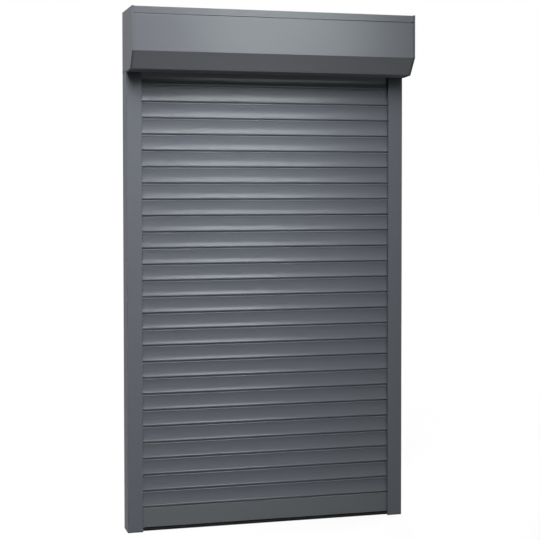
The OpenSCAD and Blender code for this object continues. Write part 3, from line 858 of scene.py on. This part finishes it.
tree.links.new(glow.outputs["Emission"], both.inputs[1])
tree.links.new(in_picture(tree), lit.inputs["Fac"])
tree.links.new(pale.outputs["BSDF"], lit.inputs[1])
tree.links.new(both.outputs["Shader"], lit.inputs[2])
tree.links.new(lit.outputs["Shader"], tree.nodes["Material Output"].inputs["Surface"])
floor_mesh.materials.append(floor_paint)


# Room light
# A pale room all round, which gives hardly any light itself. The camera and the reflections see it
# as plain white.

room_colour = (0.95, 0.97, 1.0)
room_light = 0.02
white_level = 1.0

world = bpy.data.worlds.new("room")
bpy.context.scene.world = world
world.use_nodes = True
tree = world.node_tree
room = tree.nodes["Background"]
room.inputs["Color"].default_value = (*room_colour, 1)
room.inputs["Strength"].default_value = room_light
white = tree.nodes.new("ShaderNodeBackground")
white.inputs["Color"].default_value = (1, 1, 1, 1)
white.inputs["Strength"].default_value = white_level
choice = tree.nodes.new("ShaderNodeMixShader")
tree.links.new(in_picture(tree), choice.inputs["Fac"])
tree.links.new(room.outputs["Background"], choice.inputs[1])
tree.links.new(white.outputs["Background"], choice.inputs[2])
tree.links.new(choice.outputs["Shader"], tree.nodes["World Output"].inputs["Surface"])


# Lamps
# Soft boxes behind grids. Three right of the camera make the sheen on the box and the slats' bright
# lower edges, two above the front light the paint, and three light the sides and the back.

white_tint = (1, 1, 1)
sheen_tint = (0.88, 1.0, 0.93)
low_tint = (0.93, 0.97, 1.0)
sheen_aim = (-0.334, 0, 0.2)


def soft_box(name, place, aim, size, power, spread, tint):
    """A rectangular lamp that shines towards its aim, within the spread of its grid in degrees."""
    lamp = bpy.data.lights.new(name, "AREA")
    lamp.shape = "RECTANGLE"
    lamp.size, lamp.size_y = size
    lamp.energy = power
    lamp.spread = math.radians(spread)
    lamp.color = tint
    box = in_scene(name, lamp)
    box.location = place
    box.rotation_euler = (Vector(aim) - Vector(place)).to_track_quat("-Z", "Y").to_euler()


soft_box(
    "sheen_light", place=(0.67, -2.337, 1.47), aim=sheen_aim, size=(0.72, 0.36),
    power=1.78, spread=140, tint=sheen_tint,
)
soft_box(
    "slat_light", place=(0.60, -2.337, 2.05), aim=sheen_aim, size=(0.66, 0.70),
    power=9.4, spread=140, tint=sheen_tint,
)
soft_box(
    "low_light", place=(0.43, -2.337, 1.25), aim=(-0.18, 0, 0.22), size=(0.5, 0.7),
    power=0.36, spread=26, tint=low_tint,
)
soft_box(
    "upper_light", place=(0, -1.96, 2.25), aim=(-0.03, 0, 0.95), size=(0.25, 0.25),
    power=0.48, spread=18, tint=white_tint,
)
soft_box(
    "main_light", place=(-0.59, -1.492, 2.439), aim=(-0.32, 0, 0.90), size=(1.01, 1.37),
    power=16.7, spread=62, tint=white_tint,
)
for name, side in (("left_light", -1), ("right_light", 1)):
    soft_box(
        name, place=(side * 2.0, 0.9, 2.3), aim=(side * 0.2, 0, 0.9), size=(1.2, 1.2),
        power=24, spread=150, tint=white_tint,
    )
soft_box(
    "back_light", place=(0.3, 2.6, 1.9), aim=(0, 0, 0.8), size=(1.4, 1.0),
    power=20, spread=90, tint=white_tint,
)


# Camera
# It stands left of the middle, a little above mid height, where the photograph was taken. The lens
# is shifted a little, so that the rails stay nearly upright.

camera_place = (-0.8591, -3.1146, 0.8201)
camera_turn = -15.419
camera_down = 1.791
camera_roll = -0.045
picture_width = 36.0
lens_length = 88.43
lens_shift = -0.07

camera = bpy.data.cameras.new("camera")
camera.sensor_width = picture_width
camera.lens = lens_length
camera.shift_y = lens_shift
camera_object = in_scene("camera", camera)
camera_object.location = camera_place
turn = Matrix.Rotation(math.radians(camera_turn), 4, "Z")
tilt = Matrix.Rotation(math.radians(90 - camera_down), 4, "X")
roll = Matrix.Rotation(math.radians(camera_roll), 4, "Z")
camera_object.rotation_euler = (turn @ tilt @ roll).to_euler()
bpy.context.scene.camera = camera_object
